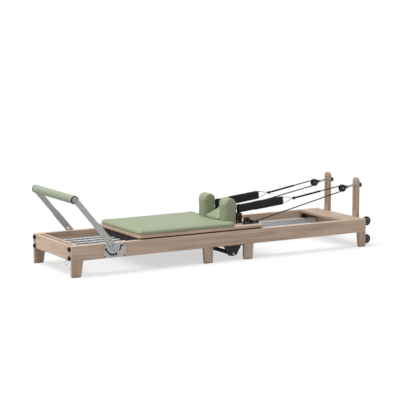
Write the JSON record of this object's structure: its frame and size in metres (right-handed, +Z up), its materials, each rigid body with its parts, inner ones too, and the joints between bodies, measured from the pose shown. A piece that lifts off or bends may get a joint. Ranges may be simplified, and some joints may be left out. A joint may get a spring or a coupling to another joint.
{
  "type": "pilates reformer",
  "caption": "Low folding pilates reformer: oak frame on short legs, sliding padded carriage with shoulder rests and headrest, foot bar, springs, and ropes over pulleys on upright posts.",
  "frame": {"origin": "on the floor, at the middle of the footprint of the whole machine with the foot bar raised", "axes": "+X runs from the foot-bar end to the rope end, +Y from the picture's near side to its far side, +Z up"},
  "size_m": [2.452, 0.66, 0.539],
  "materials": {
    "oak_side": "clear matt lacquer over pale oak",
    "oak_face": "clear matt lacquer over pale oak",
    "alloy": "satin anodised",
    "zinc_steel": "bright zinc plate",
    "black_steel": "satin black powder coat",
    "black_rubber": "matt moulded rubber",
    "tyre_rubber": "matt moulded tyre on a grey hub",
    "black_plastic": "fine-grained moulding",
    "running_wheel_steel": "turned steel",
    "sage_leather": "soft grained artificial leather",
    "webbing": "woven black rope and webbing"
  },
  "bodies": {
    "foot_frame": {"foot_half_rails": "oak_side", "foot_end_board": "oak_face", "foot_half_legs": "oak_side", "foot_half_leg_pads": "black_rubber", "foot_half_tracks": "alloy", "spring_bar": "zinc_steel", "springs": "zinc_steel", "footbar_side_plates": "zinc_steel", "side_plate_screws": "black_steel", "end_bumpers": "black_rubber", "ring_eye": "zinc_steel", "foot_hinge_brackets": "black_steel", "hinge_tube": "black_steel", "front_stop_blocks": "black_rubber"},
    "head_frame": {"head_half_rails": "oak_side", "head_end_beam": "oak_face", "rope_end_platform": "oak_face", "head_half_legs": "oak_side", "head_half_leg_pads": "black_rubber", "head_half_tracks": "alloy", "head_hinge_brackets": "black_steel", "rope_posts": "oak_face", "post_bolts": "black_steel", "end_wheel_brackets": "black_steel", "rear_stop_blocks": "black_rubber"},
    "carriage": {"carriage_board": "oak_face", "carriage_undercarriage": "black_steel", "carriage_pad": "sage_leather", "near_shoulder_rest": "sage_leather", "far_shoulder_rest": "sage_leather", "shoulder_rest_brackets": "black_steel", "rope_cleats": "black_plastic", "headrest_hinge": "zinc_steel"},
    "headrest": {"headrest_board": "oak_face", "headrest_pad": "sage_leather"},
    "front_wheel_pair": {"front_wheels": "running_wheel_steel"},
    "rear_wheel_pair": {"rear_wheels": "running_wheel_steel"},
    "footbar_pivots": {"footbar_pivot_bolts": "zinc_steel"},
    "footbar": {"footbar_arms": "alloy", "footbar_tube": "alloy", "footbar_grip": "sage_leather", "footbar_end_rings": "black_rubber", "footbar_end_screws": "zinc_steel"},
    "ring": {"pull_ring": "zinc_steel"},
    "near_riser": {"near_riser_bolt": "zinc_steel"},
    "near_knob": {"near_riser_knob": "black_plastic"},
    "near_block": {"near_pulley_block": "black_plastic"},
    "near_sheave": {"near_sheave": "black_plastic"},
    "near_lower_rope": {"near_rope": "webbing"},
    "near_upper_rope": {"near_strap": "webbing"},
    "near_upper_transport_wheel": {"near_upper_wheel": "tyre_rubber"},
    "near_lower_transport_wheel": {"near_lower_wheel": "tyre_rubber"},
    "far_riser": {"far_riser_bolt": "zinc_steel"},
    "far_knob": {"far_riser_knob": "black_plastic"},
    "far_block": {"far_pulley_block": "black_plastic"},
    "far_sheave": {"far_sheave": "black_plastic"},
    "far_lower_rope": {"far_rope": "webbing"},
    "far_upper_rope": {"far_strap": "webbing"},
    "far_upper_transport_wheel": {"far_upper_wheel": "tyre_rubber"},
    "far_lower_transport_wheel": {"far_lower_wheel": "tyre_rubber"}
  },
  "joints": [
    {"name": "frame_fold", "type": "hinge", "parent": "foot_frame", "child": "head_frame", "pos_m": [0.022, 0, 0.046], "axis": [0, -1, 0], "range_deg": [-178, 0], "deforming": ["near_rope", "far_rope", "near_strap", "far_strap"]},
    {"name": "carriage_slide", "type": "slide", "parent": "foot_frame", "child": "carriage", "axis": [1, 0, 0], "range_m": [0, 0.66], "deforming": ["springs", "near_rope", "far_rope", "near_strap", "far_strap"]},
    {"name": "front_wheel_roll", "type": "hinge", "parent": "carriage", "child": "front_wheel_pair", "pos_m": [-0.644, 0, 0.1712], "axis": [0, 1, 0], "range_deg": [-20, 1600]},
    {"name": "rear_wheel_roll", "type": "hinge", "parent": "carriage", "child": "rear_wheel_pair", "pos_m": [-0.024, 0, 0.1712], "axis": [0, 1, 0], "range_deg": [-20, 1600]},
    {"name": "headrest_tilt", "type": "hinge", "parent": "carriage", "child": "headrest", "pos_m": [0.024, 0, 0.24], "axis": [0, -1, 0], "range_deg": [-23, 12]},
    {"name": "footbar_tilt", "type": "hinge", "parent": "foot_frame", "child": "footbar_pivots", "pos_m": [-0.915, 0, 0.186], "axis": [0, -1, 0], "range_deg": [-112, 50]},
    {"name": "footbar_drop", "type": "slide", "parent": "footbar_pivots", "child": "footbar", "axis": [-0.6428, 0, 0.766], "range_m": [-0.009, 0]},
    {"name": "ring_swing", "type": "hinge", "parent": "foot_frame", "child": "ring", "pos_m": [-1.202, -0.206, 0.102], "axis": [0, 1, 0], "range_deg": [-25, 25]},
    {"name": "near_riser_slide", "type": "slide", "parent": "head_frame", "child": "near_riser", "axis": [0, 0, 1], "range_m": [-0.17, 0.015], "deforming": ["near_rope", "near_strap"]},
    {"name": "near_knob_turn", "type": "hinge", "parent": "near_riser", "child": "near_knob", "pos_m": [1.166, -0.18, 0.437], "axis": [1, 0, 0], "range_deg": [0, 360]},
    {"name": "near_block_swing", "type": "hinge", "parent": "near_riser", "child": "near_block", "pos_m": [1.119, -0.18, 0.437], "axis": [0, -1, 0], "range_deg": [-14, 4]},
    {"name": "near_sheave_spin", "type": "hinge", "parent": "near_block", "child": "near_sheave", "pos_m": [1.024, -0.18, 0.423], "axis": [0, 1, 0], "continuous": true},
    {"name": "near_lower_rope_follow", "type": "hinge", "parent": "head_frame", "child": "near_lower_rope", "pos_m": [0.272, -0.229, 0.25], "axis": [0, -1, 0], "range_deg": [-14, 2]},
    {"name": "near_upper_rope_follow", "type": "hinge", "parent": "head_frame", "child": "near_upper_rope", "pos_m": [0.156, -0.15, 0.334], "axis": [0, -1, 0], "range_deg": [-13, 2]},
    {"name": "near_upper_wheel_spin", "type": "hinge", "parent": "head_frame", "child": "near_upper_transport_wheel", "pos_m": [1.192, -0.254, 0.177], "axis": [0, 1, 0], "continuous": true},
    {"name": "near_lower_wheel_spin", "type": "hinge", "parent": "head_frame", "child": "near_lower_transport_wheel", "pos_m": [1.192, -0.254, 0.045], "axis": [0, 1, 0], "continuous": true},
    {"name": "far_riser_slide", "type": "slide", "parent": "head_frame", "child": "far_riser", "axis": [0, 0, 1], "range_m": [-0.17, 0.015], "deforming": ["far_rope", "far_strap"]},
    {"name": "far_knob_turn", "type": "hinge", "parent": "far_riser", "child": "far_knob", "pos_m": [1.166, 0.18, 0.437], "axis": [1, 0, 0], "range_deg": [0, 360]},
    {"name": "far_block_swing", "type": "hinge", "parent": "far_riser", "child": "far_block", "pos_m": [1.119, 0.18, 0.437], "axis": [0, -1, 0], "range_deg": [-14, 4]},
    {"name": "far_sheave_spin", "type": "hinge", "parent": "far_block", "child": "far_sheave", "pos_m": [1.024, 0.18, 0.423], "axis": [0, 1, 0], "continuous": true},
    {"name": "far_lower_rope_follow", "type": "hinge", "parent": "head_frame", "child": "far_lower_rope", "pos_m": [0.272, 0.229, 0.25], "axis": [0, -1, 0], "range_deg": [-14, 2]},
    {"name": "far_upper_rope_follow", "type": "hinge", "parent": "head_frame", "child": "far_upper_rope", "pos_m": [0.156, 0.15, 0.334], "axis": [0, -1, 0], "range_deg": [-13, 2]},
    {"name": "far_upper_wheel_spin", "type": "hinge", "parent": "head_frame", "child": "far_upper_transport_wheel", "pos_m": [1.192, 0.254, 0.177], "axis": [0, 1, 0], "continuous": true},
    {"name": "far_lower_wheel_spin", "type": "hinge", "parent": "head_frame", "child": "far_lower_transport_wheel", "pos_m": [1.192, 0.254, 0.045], "axis": [0, 1, 0], "continuous": true}
  ],
  "couplings": [
    {"joint": "front_wheel_roll", "follows": "carriage_slide", "rad_per_m": 41.667},
    {"joint": "rear_wheel_roll", "follows": "carriage_slide", "rad_per_m": 41.667},
    {"joint": "near_block_swing", "follows": "near_riser_slide", "rad_per_m": 1.05},
    {"joint": "near_lower_rope_follow", "follows": "near_riser_slide", "rad_per_m": 1.1735},
    {"joint": "near_upper_rope_follow", "follows": "near_riser_slide", "rad_per_m": 1.0354},
    {"joint": "far_block_swing", "follows": "far_riser_slide", "rad_per_m": 1.05},
    {"joint": "far_lower_rope_follow", "follows": "far_riser_slide", "rad_per_m": 1.1735},
    {"joint": "far_upper_rope_follow", "follows": "far_riser_slide", "rad_per_m": 1.0354}
  ]
}
